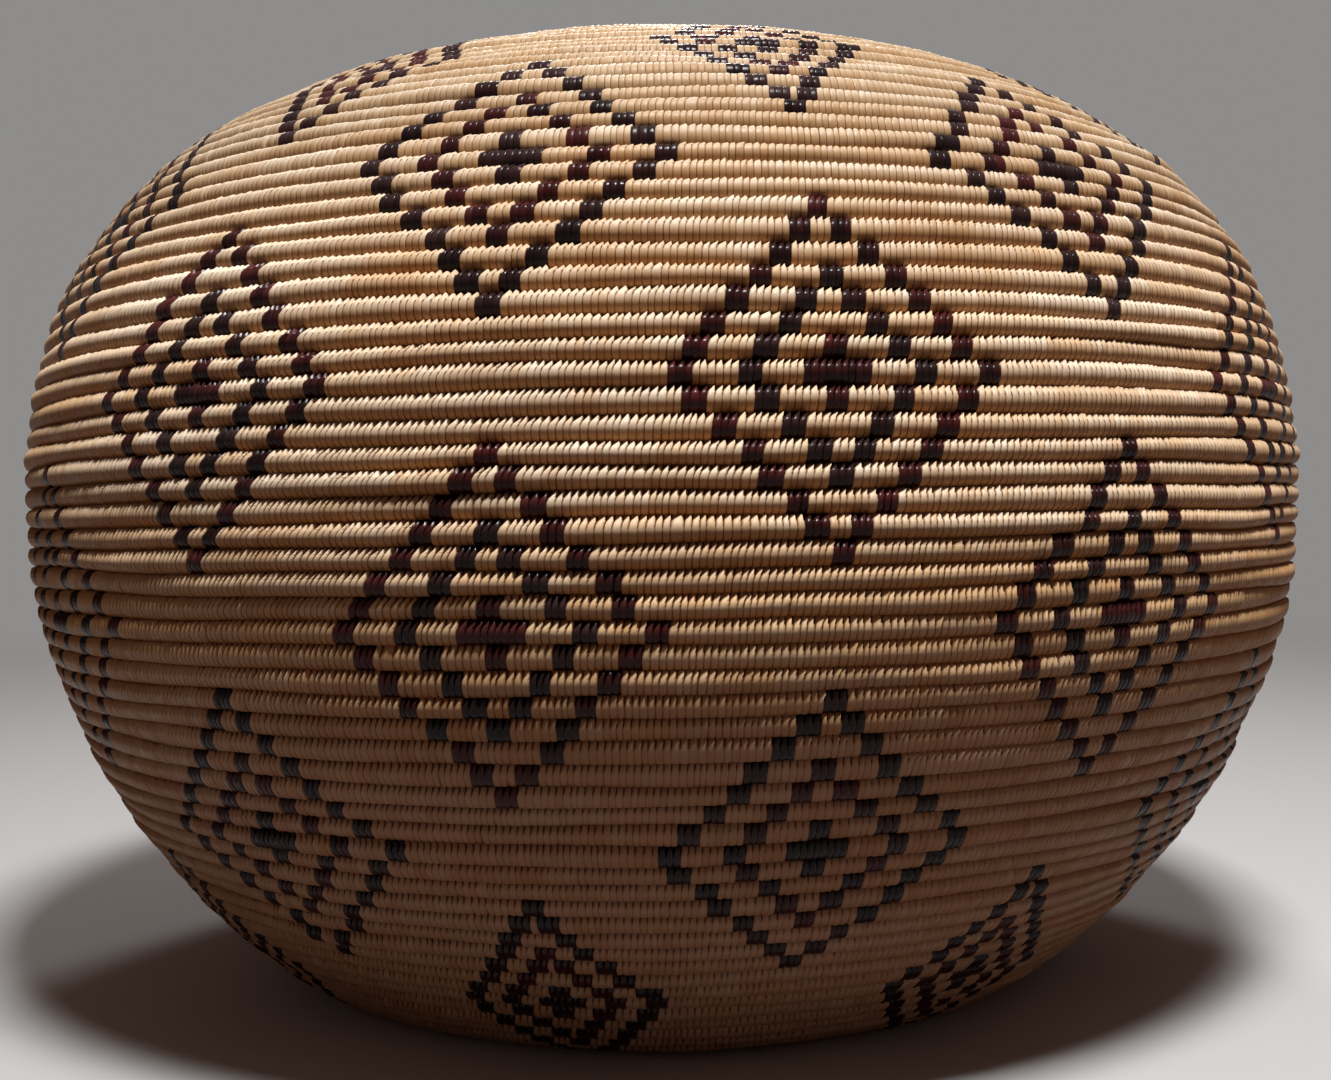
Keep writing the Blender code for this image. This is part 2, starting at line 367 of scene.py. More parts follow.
@dataclass
class Outline:
    """The basket's outline along the grooves between its courses, as points at known lengths.

    A flat base, a round heel, then a quarter curve (r / belly) ** n + (z / h) ** n = 1 up to the
    belly and another one above it.
    """

    belly_radius: float = 0.203
    belly_height: float = 0.1502
    lower_curve_share: float = 1.27
    lower_fullness: float = 1.88
    upper_curve_height: float = 0.1451
    upper_fullness: float = 2.5
    mouth_radius: float = 0.0853
    heel_radius: float = 0.0305
    ridge_height: float = 0.0018
    samples: int = 4000

    def __post_init__(self) -> None:
        """Work out the outline's points, their lengths and their slopes."""
        radius, drop = self.quarter(self.lower_curve_share * self.belly_height, self.lower_fullness)
        low_radius, low_height = radius[::-1], self.belly_height - drop[::-1]
        high_radius, rise = self.quarter(self.upper_curve_height, self.upper_fullness)
        slope = self.slopes(low_radius, low_height)
        middle = self.ridge_height + self.heel_radius
        touch = int(np.searchsorted(low_height + self.heel_radius * np.cos(slope), middle))
        self.flat_length = low_radius[touch] - self.heel_radius * math.sin(slope[touch])
        flat = np.linspace(0.0, self.flat_length, self.samples)[:-1]
        bend = np.linspace(0.0, slope[touch], self.samples)
        heel_radius = self.flat_length + self.heel_radius * np.sin(bend)
        heel_height = middle - self.heel_radius * np.cos(bend)
        low_radius, low_height = low_radius[touch + 1 :], low_height[touch + 1 :]
        high_radius, high_height = high_radius[1:], self.belly_height + rise[1:]
        flat_height = np.full(len(flat), self.ridge_height)
        self.radius = np.r_[flat, heel_radius, low_radius, high_radius]
        self.height = np.r_[flat_height, heel_height, low_height, high_height]
        step = np.hypot(np.diff(self.radius), np.diff(self.height))
        self.length = np.r_[0.0, np.cumsum(step)]
        self.slope = self.slopes(self.radius, self.height)
        from_belly = slice(-self.samples, None)
        self.total = float(
            np.interp(-self.mouth_radius, -self.radius[from_belly], self.length[from_belly])
        )

    def quarter(self, height: float, fullness: float) -> tuple[Array, Array]:
        """Radii, and heights above the belly, of a quarter curve that ends height over it."""
        turn, power = np.linspace(0.0, math.pi / 2, self.samples), 2 / fullness
        return self.belly_radius * np.abs(np.cos(turn)) ** power, height * np.sin(turn) ** power

    @staticmethod
    def slopes(radius: Array, height: Array) -> Array:
        """Angle of a line of points above the level, unbroken along the line."""
        return np.unwrap(np.arctan2(np.gradient(height), np.gradient(radius)))

    def place(self, length: Array, out: Array) -> tuple[Array, Array]:
        """Radius and height of points at these lengths, moved square to the wall by out."""
        slope = np.interp(length, self.length, self.slope)
        radius = np.interp(length, self.length, self.radius) + out * np.sin(slope)
        height = np.interp(length, self.length, self.height) - out * np.cos(slope)
        return radius, height


@dataclass
class Handwork:
    """The unevenness of hand sewing: smooth random lines along the coil, drawn from one seed."""

    turns: int = 90
    samples: int = 360  # of the lines, to each turn
    seed: int = 20

    def __post_init__(self) -> None:
        """Draw the lines."""
        self.random = np.random.default_rng(self.seed)
        self.waver_line = 0.7 * self.line(16.0, 0.5) + 0.65 * self.line(4.5, 0.15)
        self.swell_line = 0.7 * self.line(14.0, 0.3) + 0.7 * self.line(5.0, 0.0)
        self.lean_line = self.line(7.0, 0.25)
        self.tone_line = self.line(16.0, 0.5)

    def line(self, spread: float, shared: float) -> Array:
        """A random line of unit size along the coil.

        White noise smoothed along the coil by a bell curve, then partly averaged with the courses
        above and below.

        Args:
            spread: width of the bell curve, in degrees round the basket.
            shared: 0 for courses that have nothing in common, towards 1 for ones that are alike.

        Returns:
            The values, so many samples to the turn.
        """
        count = self.turns * self.samples
        width = spread * self.samples / 360.0
        reach = np.arange(-int(4 * width) - 1, int(4 * width) + 2)
        bell = np.exp(-0.5 * (reach / width) ** 2)
        values = np.convolve(self.random.standard_normal(count + len(reach) - 1), bell, "valid")
        values += shared * (np.roll(values, self.samples) + np.roll(values, -self.samples))
        return values / values.std()

    def read(self, line: Array, turns: Array) -> Array:
        """Values of a line at these turns."""
        return np.interp(turns * self.samples, np.arange(len(line)), line)


@dataclass
class Coil:
    """The spiral that the basket is wound from, with its courses as uneven as the sewing."""

    outline: Outline
    hand: Handwork
    course_width: float = 0.0058
    wall_body: float = 0.0052
    waver: float = 0.00038  # metres that a groove strays from its even place
    swell: float = 0.00028  # metres that a course stands in or out
    flat_turns: float = 8.0  # the base is worked flat, with little unevenness up to here
    even_turns: float = 22.0  # turn at which the unevenness is whole
    start_angle: float = math.pi / 2

    def __post_init__(self) -> None:
        """Count the courses and lay out the length of coil along the turns."""
        self.courses = round(self.outline.total / self.course_width - 0.5)
        self.pitch = self.outline.total / (self.courses + 0.5)
        self.turn_table = np.linspace(0.0, self.courses + 1.5, 20000)
        radius, _ = self.outline.place((self.turn_table + 0.5) * self.pitch, 0.0)
        step = np.diff(self.turn_table) * TURN * 0.5 * (radius[1:] + radius[:-1])
        self.run_table = np.r_[0.0, np.cumsum(step)]

    def run(self, turns: Array | float) -> Array:
        """Length of coil from the start to these turns."""
        return np.interp(turns, self.turn_table, self.run_table)

    def turns_at(self, run: Array) -> Array:
        """Turns at which these lengths of coil have been wound."""
        return np.interp(run, self.run_table, self.turn_table)

    def girth(self, turns: Array) -> Array:
        """Length of coil in a whole turn at these turns."""
        radius, _ = self.outline.place((turns + 0.5) * self.pitch, 0.0)
        return TURN * radius

    def settled(self, turns: Array) -> Array:
        """0 in the flat base, rising to 1 up the wall."""
        share = np.interp(turns, [self.flat_turns, self.even_turns], [0.0, 1.0])
        return share * share * (3.0 - 2.0 * share)

    def groove(self, turns: Array) -> Array:
        """Distance along the outline of the groove under the course at these turns."""
        stray = self.waver * (0.15 + 0.85 * self.settled(turns)) * np.clip(turns - 1.0, 0.0, 1.0)
        return turns * self.pitch + stray * self.hand.read(self.hand.waver_line, turns)

    def points(self, turns: Array, share: Array, out: Array) -> Array:
        """World points of the coil.

        The place along the outline is the groove under the course plus a share of the way to the
        groove above it. The point is then moved square to the wall and turned round the axis.

        Args:
            turns: turns from the start, whole and part.
            share: 0 at the groove under the course, 1 at the one above.
            out: distance out from the grooves.

        Returns:
            Points, with x, y and z last.
        """
        low = self.groove(turns)
        high = self.groove(turns + 1.0)
        moved = out + self.swell * self.settled(turns) * self.hand.read(self.hand.swell_line, turns)
        radius, height = self.outline.place(low + share * (high - low), moved)
        angle = self.start_angle + TURN * turns
        radius, height = np.maximum(radius, 0.0), np.maximum(height, 0.0)
        return np.stack([radius * np.cos(angle), radius * np.sin(angle), height], axis=-1)


@dataclass
class DiamondDesign:
    """Stepped diamonds set in a half-drop lattice, the oldest of sewn basket figures.

    A stitch belongs to a diamond by d = |steps across| + |courses up| from its middle: an outer
    band, an inner band and a core.
    """

    across: int = 8  # diamonds round each tier
    phase: float = 0.25  # of the space between diamonds, from the start of the coil
    reach: int = 7  # courses from a diamond's middle to its tip
    nested: int = 3  # courses from a band's tip to the next one's
    tier_courses: int = 20  # between tiers that stand over one another
    first_middle: int = 35  # course of the first upright tier's middle
    lowest: int = 18  # only whole diamonds are sewn, from this course to the next
    highest: int = 83
    step: int = 3  # stitches across for each course up, at the belly
    line: int = 3  # stitches that an outline is wide

    def kinds(self, turns: Array, coil: Coil) -> Array:
        """Which splint each stitch is.

        Stitches are counted from each diamond's middle line, as they are in sewing.

        Args:
            turns: turns of the stitches' middles.
            coil: the coil that they sew.

        Returns:
            Numbers of Splint.
        """
        count = len(turns)
        result = np.full(count, Splint.WILLOW.value)
        spacing = (turns[-1] - turns[0]) / (count - 1)
        belly = TURN * coil.outline.belly_radius
        for drop in (0.0, 0.5):
            part = turns * self.across - drop - self.phase
            axis = turns - (part - np.round(part)) / self.across
            course = np.floor(axis)
            middle = self.first_middle + drop * self.tier_courses
            tier = np.round((course - middle) / self.tier_courses)
            middle = middle + tier * self.tier_courses
            up = np.abs(course - middle)
            step = np.round(self.step * coil.girth(np.clip(middle, 0.0, coil.courses)) / belly)
            beyond = axis - np.clip(axis, turns[0], turns[-1])
            centre = np.interp(axis, turns, np.arange(count)) + beyond / spacing
            side = np.abs(np.arange(count) - np.round(centre))
            whole = (middle - self.reach >= self.lowest) & (middle + self.reach <= self.highest)
            swapped = (tier + round(2 * drop)) % 2 == 1
            for band, odd in enumerate((False, True, False)):
                left = self.reach - band * self.nested - up
                within = left * step + self.line // 2 - side
                drawn = whole & (left >= 0) & (within >= 0) & ((within < self.line) | (band == 2))
                dark = np.where(swapped == odd, Splint.ROOT.value, Splint.REDBUD.value)
                result = np.where(drawn, dark, result)
        return result


@dataclass(frozen=True)
class Section:
    """The closed line round one course, from its hidden foot up the outside and down the inside.

    Rows of crown and edge points follow the outside. Each is (share of the course's width,
    millimetres out from the grooves). The edge row is the line between two stitches and the crown
    row a stitch's middle. The inner rows have only edges.
    """

    crown: Rows
    edge: Rows
    inner: Rows
    lean: Shares  # share of the stitch's lean at each outer row
    skew: Shares  # how far the crown moves to the right, in stitch widths
    notch: Shares  # share of the extra depth of the notches at each outer row
    raised: Shares  # millimetres that outer rows stand out on the tight lower wall
    mapped: Shares  # how much room each strip of the ring gets when its look is mapped

    def places(self) -> Array:
        """How far round the ring each row is, from 0 at the foot to 1 back at it."""
        room = np.array(self.mapped)
        return np.r_[0.0, np.cumsum(room)] / room.sum()


WALL_SECTION = Section(
    crown=(
        (0.00, -1.30), (0.06, 0.12), (0.19, 1.10), (0.36, 1.68),
        (0.58, 1.93), (0.79, 1.68), (0.97, 1.00), (1.04, -0.50),
    ),
    edge=(
        (0.00, -1.50), (0.06, 0.00), (0.19, 0.98), (0.36, 1.56),
        (0.58, 1.77), (0.74, 1.20), (0.86, -0.50), (1.05, -1.60),
    ),
    inner=((0.93, -4.40), (0.68, -5.45), (0.32, -5.45), (0.07, -4.40)),
    lean=(0.0, 0.0, 0.0, 0.0, 0.22, 0.55, 1.0, 1.05),
    skew=(0.0, 0.0, 0.0, 0.0, 0.05, 0.17, 0.32, 0.32),
    notch=(0.0, 0.0, 0.0, 0.3, 0.8, 1.0, 1.0, 0.0),
    raised=(2.0, 1.10, 0.45, 0.1, 0.0, 0.22, 0.90, 1.6),
    mapped=(0.5, 1.1, 1.5, 1.5, 1.2, 1.1, 0.4, 0.5, 1.0, 1.2, 1.0, 0.5),
)

RIM_SECTION = Section(
    crown=(
        (0.00, -1.30), (0.075, 0.15), (0.24, 1.12), (0.47, 1.80),
        (0.70, 1.50), (0.90, 0.45), (1.00, -1.00), (1.02, -2.60),
    ),
    edge=(
        (0.00, -1.55), (0.075, -0.12), (0.24, 0.84), (0.47, 1.50),
        (0.68, 1.22), (0.86, 0.26), (0.95, -1.05), (0.97, -2.60),
    ),
    inner=((0.93, -4.00), (0.68, -5.30), (0.32, -5.45), (0.07, -4.40)),
    lean=(0.0, 0.0, 0.0, 0.05, 0.2, 0.45, 0.75, 1.0),
    skew=(0.0,) * 8,
    notch=(0.0,) * 8,
    raised=(0.0,) * 8,
    mapped=(0.5, 1.1, 1.5, 1.5, 1.2, 1.1, 0.9, 0.9, 1.0, 1.2, 1.0, 0.5),
)


@dataclass
class Faces:
    """Faces with all that their corners and stitches carry, as flat arrays."""

    points: Array  # (n, 3)
    column: Array  # of each point: the seam between stitches that it lies on, or -1
    corners: Array  # point of each corner
    sizes: Array  # corners of each face
    across: Array  # of each corner: 0 to 1 over its stitch
    around: Array  # of each corner: 0 to 1 round the course
    stitch: Array  # of each face: its stitch's number in the piece
    cap: Array  # of each face: 0 for a stitch, 1 for the first end of a run, 2 for the last
    tone: Array  # of each stitch (n, 3)
    number: Array  # of each stitch, 0 to 1
    run: Array  # of each stitch: how many runs of stitches come before its own

    @staticmethod
    def joined(parts: "list[Faces]") -> "Faces":
        """Put several sets of faces together.

        Args:
            parts: the sets, in order.

        Returns:
            One set, whose numbers run on from part to part.
        """
        counts = [
            (len(part.points), int(part.column.max()) + 1, len(part.number), int(part.run[-1]) + 1)
            for part in parts
        ]
        starts = np.cumsum([(0, 0, 0, 0), *counts[:-1]], axis=0)
        moved = [
            replace(
                part,
                corners=part.corners + point,
                column=np.where(part.column < 0, -1, part.column + seam),
                stitch=part.stitch + stitch,
                run=part.run + run,
            )
            for part, (point, seam, stitch, run) in zip(parts, starts, strict=True)
        ]
        names = [item.name for item in fields(Faces)]
        return Faces(*(np.concatenate([getattr(part, name) for part in moved]) for name in names))


@dataclass
class Sewing:
    """Sews one length of the coil: lays out its stitches and works out the faces of each."""

    coil: Coil
    design: DiamondDesign
    stitch_width: float = 0.001755
    width_spread: float = 0.11
    wide_share: float = 0.006  # share of the stitches that are wider than the rest
    wide: float = 1.7  # how much wider
    lean: float = 0.41  # stitch widths that a tip lies to the right of its foot
    lean_spread: float = 0.18
    lean_left: float = 0.31  # more of it on the left, where the sewer pulled harder
    jitter: float = 0.12  # how much a crown strays to the side, in stitch widths
    notch: float = 0.035  # share of a course by which the notches between tips reach lower
    notch_left: float = 0.055  # more of it on the left
    skew_left: float = 0.35  # and how much more one-sided the tips are there
    tight_turns: tuple[float, float] = (41.0, 50.0)  # turns between which courses lie less tight
    upright: float = 0.85  # how much less the tips lean there
    calm: float = 0.75  # how much flatter the sewing is on the shoulder
    calm_turns: tuple[float, float] = (54.0, 69.0)  # turns between which it grows flatter
    stand: float = 0.00007  # metres by which stitches stand higher or lower than one another
    parting: float = 0.00009  # metres that seams are deeper where stitches stand apart
    tip_spread: float = 0.022  # share of a course by which their tips do
    splint_stitches: float = 11.0  # sewn with one splint before the next one is taken
    splint_tone: float = 0.75  # how far splints differ in tone
    stitch_tone: float = 0.5  # how far stitches do
    course_tone: float = 0.6  # how far lightness wanders along the coil
    tail_size: float = 0.22  # of the coil's thin end, over its full size
    knot_closed: float = 0.94  # how much of the way to the middle the first turn's feet reach
    pieces: dict[Splint, list[Faces]] = field(default_factory=dict)

    def sew(
        self, name: str, first: float, last: float, section: Section, taper: float = 0.0
    ) -> Faces:
        """Sew a length of coil, and put its dark stitches by.

        Args:
            name: of the length, from which its random numbers come.
            first: turn at which it starts.
            last: turn at which it ends.
            section: the line round its course.
            taper: turns over which its end thins out, or 0.

        Returns:
            The faces of its willow stitches.
        """
        seed = sum(ord(letter) * 7**place for place, letter in enumerate(name)) % 2**31
        random = np.random.default_rng(seed)
        start, end = self.coil.run([first, last])
        count = max(int(round((end - start) / self.stitch_width)), 6)
        widths = 1.0 + self.width_spread * np.clip(random.standard_normal(count), -2.0, 2.5)
        widths[random.random(count) < self.wide_share] *= self.wide
        seams = start + (end - start) * np.r_[0.0, np.cumsum(widths)] / widths.sum()
        seams = self.coil.turns_at(seams)
        seams[0], seams[-1] = first, last
        middles = 0.5 * (seams[1:] + seams[:-1])
        points = self.points(seams, middles, section, taper, random)
        kinds = self.design.kinds(middles, self.coil)
        tone = self.tones(middles, random)
        number = random.random(count)
        for kind in (Splint.ROOT, Splint.REDBUD):
            if (kinds == kind.value).any():
                faces = self.faces(points, section, kinds == kind.value, tone, number)
                self.pieces.setdefault(kind, []).append(faces)
        return self.faces(points, section, kinds == Splint.WILLOW.value, tone, number)

    def points(
        self, seams: Array, middles: Array, section: Section, taper: float, random: Generator
    ) -> Array:
        """Points of a length: a grid over the outside, then a coarser one over the inside.

        Outside, column 2 k lies on seam k and column 2 k + 1 on the crown of stitch k. A row's
        place round the course comes from the section, and its columns lean along the coil by
        lean * stitch width * the row's share. In the first turn, feet are drawn in towards the
        middle of the base, which closes the start knot.

        Args:
            seams: turns of the lines between stitches.
            middles: turns of the stitches' middles.
            section: the line round the course.
            taper: turns over which the end thins out, or 0.
            random: where the stitches' unevenness comes from.

        Returns:
            Points, outer rows first.
        """
        count, rows, hand = len(middles), len(section.crown), self.coil.hand
        columns = np.empty(2 * count + 1)
        columns[0::2], columns[1::2] = seams, middles
        crown, edge = np.array(section.crown), np.array(section.edge)
        calm = self.calm * np.interp(seams, self.calm_turns, [0.0, 1.0])
        tight = np.interp(columns, self.tight_turns, [1.0, 0.0])
        share, out, skew = np.zeros((3, rows, 2 * count + 1))
        for part, values in enumerate((share, out)):
            values[:, 0::2] = edge[:, [part]] + (crown - edge)[:, [part]] * calm
            values[:, 1::2] = crown[:, [part]]
        out *= MILLIMETRE
        out += np.array(section.raised)[:, None] * tight * MILLIMETRE
        out[1 : rows - 1, 1::2] += self.stand * random.standard_normal(count)
        out[1 : rows - 3, 0::2] -= self.parting * random.exponential(1.0, count + 1)
        tips = self.tip_spread * np.clip(random.standard_normal(count), -2.0, 2.0)
        share[rows - 2, 1::2] += tips * (np.array(section.skew).max() > 0)
        reach = self.notch + self.notch_left * np.sin(TURN * seams)
        share[:, 0::2] -= np.array(section.notch)[:, None] * reach * (1.0 - calm)

        lean = self.lean + self.lean_spread * hand.read(hand.lean_line, columns)
        lean = (lean + self.lean_left * np.sin(TURN * columns)) * (1.0 - self.upright * tight)
        lean[1::2] += self.jitter * np.clip(random.standard_normal(count), -2.0, 2.0)
        skew[:, 1::2] = np.array(section.skew)[:, None]
        skew *= 1.0 + self.skew_left * np.sin(TURN * columns)
        shift = np.array(section.lean)[:, None] * lean + skew
        turns = columns + shift * self.stitch_width / self.coil.girth(columns)
        inner = np.repeat(section.inner, count + 1, axis=0)
        turns = np.r_[turns.ravel(), np.tile(seams, len(section.inner))]
        share = np.r_[share.ravel(), inner[:, 0]]
        out = np.r_[out.ravel(), inner[:, 1] * MILLIMETRE]
        if seams[-1] <= 1.0:
            share = share - self.knot_closed * turns * np.maximum(1.0 - share, 0.0)
        if taper:
            size = np.interp(turns, [seams[-1] - taper, seams[-1]], [1.0, self.tail_size])
            middle = -0.5 * self.coil.wall_body
            share, out = share * size, (out - middle) * size + middle
        return self.coil.points(turns, share, out)

    def tones(self, middles: Array, random: Generator) -> Array:
        """Lightness, warmth and gloss of each stitch, about 0.

        Each splint sews a run of stitches that share its tone, and each stitch differs a little.

        Args:
            middles: turns of the stitches' middles.
            random: where the differences come from.

        Returns:
            Three numbers to each stitch.
        """
        count = len(middles)
        splint = np.cumsum(random.random(count) < 1.0 / self.splint_stitches)
        shared = random.standard_normal((splint[-1] + 1, 3))[splint]
        own = random.standard_normal((count, 3))
        tone = self.splint_tone * shared + self.stitch_tone * own
        wandering = self.coil.hand.read(self.coil.hand.tone_line, middles)
        tone[:, 0] += self.course_tone * wandering
        return np.clip(tone, -2.2, 2.2)

    @staticmethod
    def faces(points: Array, section: Section, chosen: Array, tone: Array, number: Array) -> Faces:
        """Faces of the chosen stitches of a length, each run of them closed at both ends.

        Args:
            points: all points of the length.
            section: the line round its course.
            chosen: which stitches, True or False.
            tone: lightness, warmth and gloss of all stitches.
            number: own number of all stitches.

        Returns:
            The faces.
        """
        count, place = len(chosen), section.places()
        rows, inner_rows = len(section.crown), len(section.inner)
        wide, ring = 2 * count + 1, rows + inner_rows
        inside = rows * wide
        column = np.full(len(points), -1)
        column[:inside].reshape(rows, wide)[:, 0::2] = np.arange(count + 1)
        column[inside:] = np.tile(np.arange(count + 1), inner_rows)

        stitch = np.flatnonzero(chosen)
        every = np.arange(len(stitch))
        own = stitch[:, None]
        row, half, inner_row = np.arange(rows - 1), np.arange(2), np.arange(inner_rows - 1)
        low = row[:, None] * wide + 2 * own[:, None] + half
        outer = np.stack([low, low + 1, low + wide + 1, low + wide], axis=-1)
        outer_across = np.stack([half, half + 1, half + 1, half], axis=-1) / 2.0
        outer_around = place[row[:, None, None] + [0, 0, 1, 1]]
        first_inner = inside + own
        last_inner = first_inner + (inner_rows - 1) * (count + 1)
        top, foot = (rows - 1) * wide + 2 * own + np.arange(3), 2 * own + np.arange(3)[::-1]
        over = np.concatenate([top, first_inner + 1, first_inner], axis=1)
        under = np.concatenate([last_inner, last_inner + 1, foot], axis=1)
        low = first_inner + inner_row * (count + 1)
        inner = np.stack([low, low + 1, low + count + 2, low + count + 1], axis=-1)
        inner_around = place[rows + inner_row[:, None] + [0, 0, 1, 1]]

        def rings(seams: Array) -> Array:
            """Points of the ring on each of these seams, from the foot up the outside."""
            outside = np.arange(rows) * wide + 2 * seams[:, None]
            within = inside + np.arange(inner_rows) * (count + 1) + seams[:, None]
            return np.concatenate([outside, within], axis=1)

        starts = np.flatnonzero(chosen & ~np.r_[False, chosen[:-1]])
        ends = np.flatnonzero(chosen & ~np.r_[chosen[1:], False])
        first, last = np.searchsorted(stitch, starts), np.searchsorted(stitch, ends)
        cap = np.r_[0.5 + 0.4 * np.sin(np.pi * place[:rows]), np.full(inner_rows, 0.1)]
        cap_around, backward = place[:ring], slice(None, None, -1)

        groups = (  # corners, their places across and around, stitches and the kind of cap
            (outer, outer_across, outer_around, every, 0),
            (over, [0.0, 0.5, 1.0, 1.0, 0.0], place[[rows - 1] * 3 + [rows] * 2], every, 0),
            (under, [0.0, 1.0, 1.0, 0.5, 0.0], place[[ring - 1] * 2 + [ring] * 3], every, 0),
            (inner, [0.0, 1.0, 1.0, 0.0], inner_around, every, 0),
            (rings(starts), cap, cap_around, first, 1),
            (rings(ends + 1)[:, backward], cap[backward], cap_around[backward], last, 2),
        )
        shapes = [made[0].shape for made in groups]
        owners = [np.repeat(made[3], math.prod(made[0].shape[1:-1])) for made in groups]
        numbered = list(zip(owners, shapes, groups, strict=True))
        sizes = [np.full(len(owner), shape[-1]) for owner, shape, _ in numbered]
        across = [np.broadcast_to(made[1], shape).ravel() for _, shape, made in numbered]
        around = [np.broadcast_to(made[2], shape).ravel() for _, shape, made in numbered]
        caps = [np.full(len(owner), made[4]) for owner, _, made in numbered]
        carried = (np.concatenate(part) for part in (sizes, across, around, owners, caps))
        corners = np.concatenate([made[0].ravel() for made in groups])
        used, corners = np.unique(corners, return_inverse=True)
        run = np.cumsum(np.isin(stitch, starts)) - 1
        stitches = (tone[stitch], number[stitch], run)
        return Faces(points[used], column[used], corners, *carried, *stitches)


@dataclass
class Piece:
    """A finished piece of the basket: its faces as a Blender object with its splint's finish."""

    name: str
    faces: Faces
    splint: Splint
    strip_shape: float = 4.0  # a stitch's height over its width on the map of the piece's look

    def build(self, material: bpy.types.Material, nodes: tuple[str, ...] = ()) -> bpy.types.Object:
        """Make the object and hang it on the basket.

        Args:
            material: finish of the splint.
            nodes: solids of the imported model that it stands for.

        Returns:
            The object.
        """
        faces = self.faces
        mesh = bpy.data.meshes.new(self.name)
        mesh.vertices.add(len(faces.points))
        mesh.vertices.foreach_set("co", faces.points.astype(np.float32).ravel())
        mesh.loops.add(len(faces.corners))
        mesh.loops.foreach_set("vertex_index", faces.corners.astype(np.int32))
        mesh.polygons.add(len(faces.sizes))
        start = np.r_[0, np.cumsum(faces.sizes)[:-1]]
        mesh.polygons.foreach_set("loop_start", start.astype(np.int32))
        mesh.polygons.foreach_set("use_smooth", np.ones(len(faces.sizes), bool))
        mesh.update(calc_edges=True)
        self.add_attributes(mesh)
        self.sharpen_seams(mesh)
        mesh.materials.append(material)
        piece = placed(self.name, mesh)
        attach(piece, "root")
        if nodes:
            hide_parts(*nodes)
        counts = len(faces.number), (faces.sizes - 2).sum()
        log.info("%s: %d stitches, %d triangles", self.name, *counts)
        return piece

    def add_attributes(self, mesh: bpy.types.Mesh) -> None:
        """Put each corner's place on its stitch, each stitch's tone and the map of its look."""
        faces = self.faces
        owner = np.repeat(faces.stitch, faces.sizes)
        splint = np.stack([faces.across, faces.around, faces.number[owner]], axis=-1)
        layer = mesh.attributes.new("splint", "FLOAT_VECTOR", "CORNER")
        layer.data.foreach_set("vector", splint.astype(np.float32).ravel())
        layer = mesh.attributes.new("tone", "FLOAT_VECTOR", "FACE")
        layer.data.foreach_set("vector", faces.tone[faces.stitch].astype(np.float32).ravel())
        layer = mesh.uv_layers.new(name="OFBake")
        layer.data.foreach_set("uv", self.look_map(owner).astype(np.float32).ravel())

    def look_map(self, owner: Array) -> Array:
        """Where each corner lies on the piece's own map.

        Stitches stand side by side in strips, in the order they were sewn. A run of stitches has
        one more place before it, whose halves hold the end faces on either side.

        Args:
            owner: stitch of each corner.

        Returns:
            Places from 0 to 1, two to each corner.
        """
        faces = self.faces
        cap = np.repeat(faces.cap, faces.sizes)
        cell = np.arange(len(faces.number)) + faces.run + 1
        cells = int(cell[-1]) + 2
        strips = math.ceil(math.sqrt(cells / self.strip_shape))
        long = math.ceil(cells / strips)
        own = cell[owner]
        at = np.where(cap == 1, own - 0.5 + 0.4 * faces.across, own + faces.across)
        at = np.where(cap == 2, own + 1.1 + 0.4 * faces.across, at)
        strip = np.select([cap == 1, cap == 2], [own - 1, own + 1], own) // long
        u = (at - strip * long) / long
        v = (strip + 0.04 + 0.92 * faces.around) / strips
        return np.stack([0.002 + 0.996 * u, v], axis=-1)

    def sharpen_seams(self, mesh: bpy.types.Mesh) -> None:
        """Keep a crisp line between stitches, so that each one is round by itself."""
        ends = np.empty(2 * len(mesh.edges), np.int32)
        mesh.edges.foreach_get("vertices", ends)
        first, second = self.faces.column[ends.reshape(-1, 2)].T
        sharp = (first == second) & (first >= 0)
        layer = mesh.attributes.new("sharp_edge", "BOOLEAN", "EDGE")
        layer.data.foreach_set("value", sharp)


